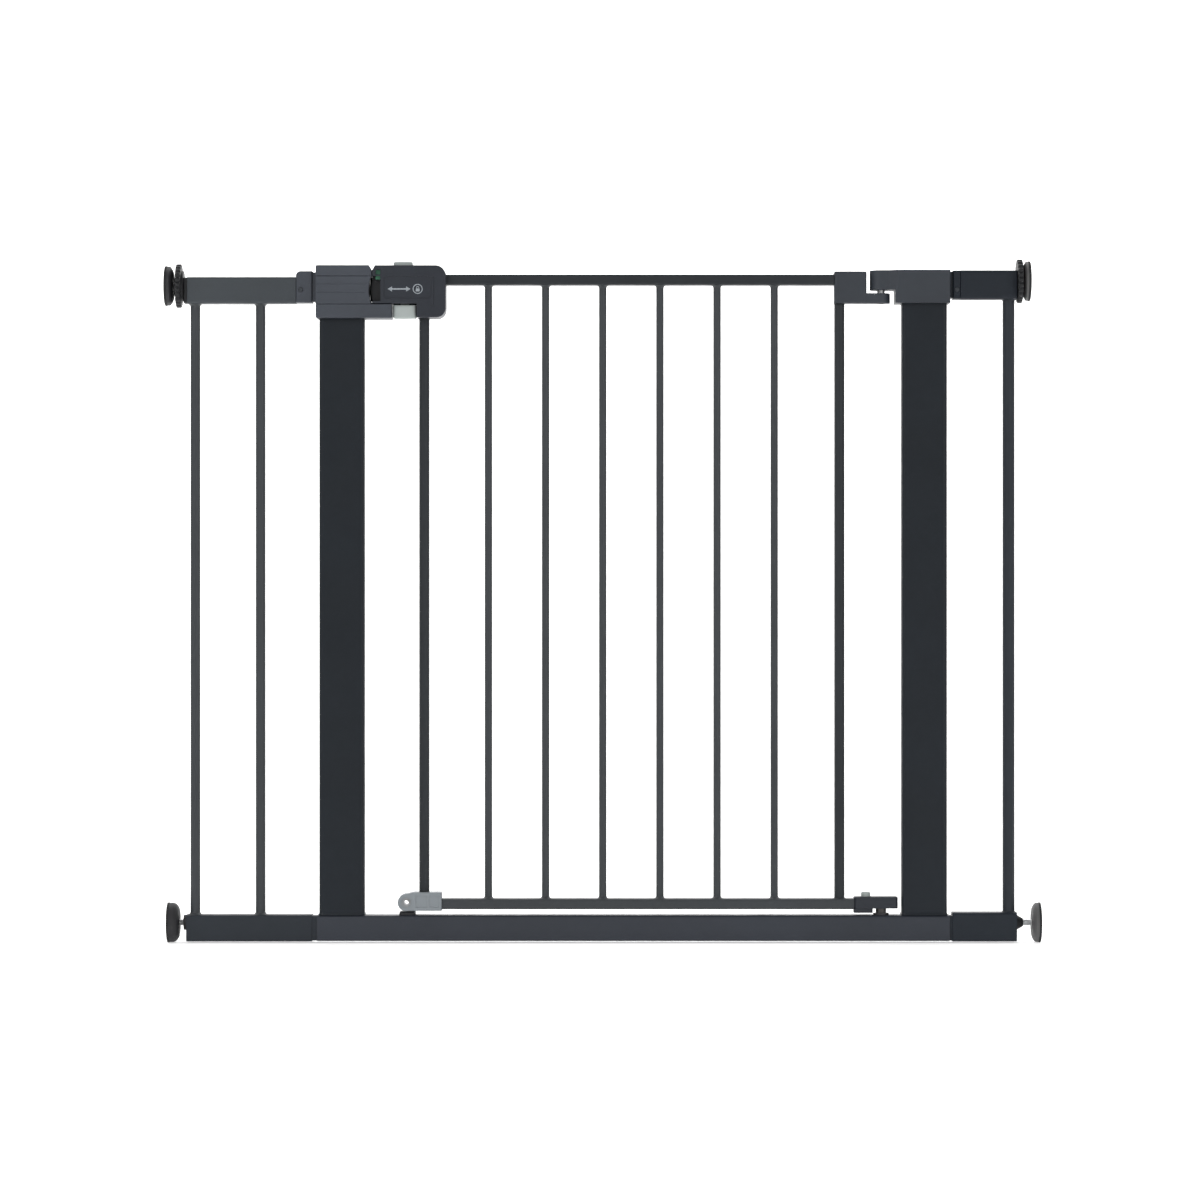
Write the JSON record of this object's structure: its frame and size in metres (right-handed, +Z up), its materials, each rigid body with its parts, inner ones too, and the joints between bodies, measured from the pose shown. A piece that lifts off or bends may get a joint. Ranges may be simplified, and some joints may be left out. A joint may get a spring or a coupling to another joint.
{
  "type": "safety baby gate",
  "caption": "Pressure-mounted safety gate with a swinging barred door, one-hand latch, threshold rail, side extensions and screw-out wall pads.",
  "frame": {"origin": "on the floor line under the lower wall pads, in the middle of the width and of the depth", "axes": "+X towards the hinge side, +Z up, the front of the gate faces -Y"},
  "size_m": [0.919, 0.046, 0.717],
  "materials": {
    "frame_steel": "satin",
    "door_steel": "satin",
    "housing_plastic": "satin",
    "handle_plastic": "satin",
    "black_plastic": "matte",
    "light_plastic": "satin",
    "bracket_plastic": "satin",
    "indicator_green": "satin",
    "cup_plastic": "matte",
    "pad_rubber": "matte",
    "zinc_steel": "satin"
  },
  "bodies": {
    "frame": {"threshold_rail": "frame_steel", "left_post": "frame_steel", "right_post": "frame_steel", "latch_receiver_front": "housing_plastic", "latch_receiver_rear": "housing_plastic", "latch_keeper": "black_plastic", "hinge_bracket_front": "housing_plastic", "hinge_bracket_rear": "housing_plastic", "housing_screws": "zinc_steel", "upper_hinge_pin": "zinc_steel", "lower_hinge_pin": "zinc_steel", "lower_latch_stop": "black_plastic", "left_extension_top_rail": "frame_steel", "left_extension_bottom_rail": "frame_steel", "left_extension_bars": "frame_steel", "left_connector_upper": "housing_plastic", "left_connector_lower": "black_plastic", "right_extension_top_rail": "frame_steel", "right_extension_bottom_rail": "frame_steel", "right_extension_bar": "frame_steel", "right_connector_upper": "housing_plastic", "right_connector_lower": "black_plastic", "connector_screws": "zinc_steel", "spindle_plugs": "black_plastic"},
    "hinge_bushes": {"upper_hinge_bush": "black_plastic", "lower_hinge_bush": "black_plastic"},
    "door": {"door_top_rail": "door_steel", "door_bottom_rail": "door_steel", "door_bars": "door_steel", "door_latch_stile": "door_steel", "door_hinge_stile": "door_steel", "handle_front_shell": "handle_plastic", "handle_rear_shell": "handle_plastic", "handle_screws": "zinc_steel", "upper_hinge_arm": "housing_plastic", "lower_hinge_block": "handle_plastic", "hinge_block_screw": "light_plastic", "lower_latch_bracket": "bracket_plastic", "bracket_rivet": "zinc_steel", "latch_spring": "zinc_steel"},
    "thumb_button": {"thumb_button": "light_plastic"},
    "squeeze_trigger": {"squeeze_trigger": "light_plastic"},
    "latch_bolt": {"latch_bolt": "black_plastic", "lock_indicator": "indicator_green"},
    "left_wheel": {"left_tension_wheel": "black_plastic"},
    "right_wheel": {"right_tension_wheel": "black_plastic"},
    "upper_left_mount": {"upper_left_spindle": "zinc_steel", "upper_left_wall_cup": "cup_plastic", "upper_left_wall_pad": "pad_rubber"},
    "upper_right_mount": {"upper_right_spindle": "zinc_steel", "upper_right_wall_cup": "cup_plastic", "upper_right_wall_pad": "pad_rubber"},
    "lower_left_cup": {"lower_left_wall_cup": "cup_plastic", "lower_left_wall_pad": "pad_rubber"},
    "lower_right_cup": {"lower_right_wall_cup": "cup_plastic", "lower_right_wall_pad": "pad_rubber"},
    "lower_left_spindle": {"lower_left_spindle": "zinc_steel"},
    "lower_right_spindle": {"lower_right_spindle": "zinc_steel"}
  },
  "joints": [
    {"name": "door_lift", "type": "slide", "parent": "frame", "child": "hinge_bushes", "axis": [0, 0, 1], "range_m": [0, 0.003]},
    {"name": "door_swing", "type": "hinge", "parent": "hinge_bushes", "child": "door", "pos_m": [0.292, 0, 0], "axis": [0, 0, 1], "range_deg": [-90, 90]},
    {"name": "thumb_press", "type": "slide", "parent": "door", "child": "thumb_button", "axis": [0, 0, -1], "range_m": [0, 0.004], "stiffness_N_per_m": 1500, "springref_m": -0.002},
    {"name": "trigger_squeeze", "type": "slide", "parent": "door", "child": "squeeze_trigger", "axis": [0, 0, 1], "range_m": [0, 0.004]},
    {"name": "bolt_retract", "type": "slide", "parent": "door", "child": "latch_bolt", "axis": [1, 0, 0], "range_m": [0, 0.008], "deforming": ["latch_spring"]},
    {"name": "upper_left_extend", "type": "slide", "parent": "frame", "child": "upper_left_mount", "axis": [-1, 0, 0], "range_m": [-0.003, 0.012]},
    {"name": "left_wheel_turn", "type": "hinge", "parent": "frame", "child": "left_wheel", "pos_m": [-0.44, 0, 0.689], "axis": [-1, 0, 0], "range_deg": [-720.5, 2880.5]},
    {"name": "lower_left_extend", "type": "slide", "parent": "frame", "child": "lower_left_cup", "axis": [-1, 0, 0], "range_m": [-0.003, 0.012]},
    {"name": "lower_left_screw_turn", "type": "hinge", "parent": "lower_left_cup", "child": "lower_left_spindle", "pos_m": [-0.44, 0, 0.021], "axis": [-1, 0, 0], "range_deg": [-720.5, 2880.5]},
    {"name": "upper_right_extend", "type": "slide", "parent": "frame", "child": "upper_right_mount", "axis": [1, 0, 0], "range_m": [-0.0006, 0.0144]},
    {"name": "right_wheel_turn", "type": "hinge", "parent": "frame", "child": "right_wheel", "pos_m": [0.44, 0, 0.694], "axis": [1, 0, 0], "range_deg": [-144.5, 3456.5]},
    {"name": "lower_right_extend", "type": "slide", "parent": "frame", "child": "lower_right_cup", "axis": [1, 0, 0], "range_m": [-0.006, 0.009]},
    {"name": "lower_right_screw_turn", "type": "hinge", "parent": "lower_right_cup", "child": "lower_right_spindle", "pos_m": [0.44, 0, 0.021], "axis": [1, 0, 0], "range_deg": [-1440.5, 2160.5]}
  ],
  "couplings": [
    {"joint": "trigger_squeeze", "follows": "thumb_press", "ratio": 1},
    {"joint": "bolt_retract", "follows": "thumb_press", "ratio": 2},
    {"joint": "left_wheel_turn", "follows": "upper_left_extend", "rad_per_m": 4188.8},
    {"joint": "lower_left_screw_turn", "follows": "lower_left_extend", "rad_per_m": 4188.8},
    {"joint": "right_wheel_turn", "follows": "upper_right_extend", "rad_per_m": 4188.8},
    {"joint": "lower_right_screw_turn", "follows": "lower_right_extend", "rad_per_m": 4188.8}
  ]
}
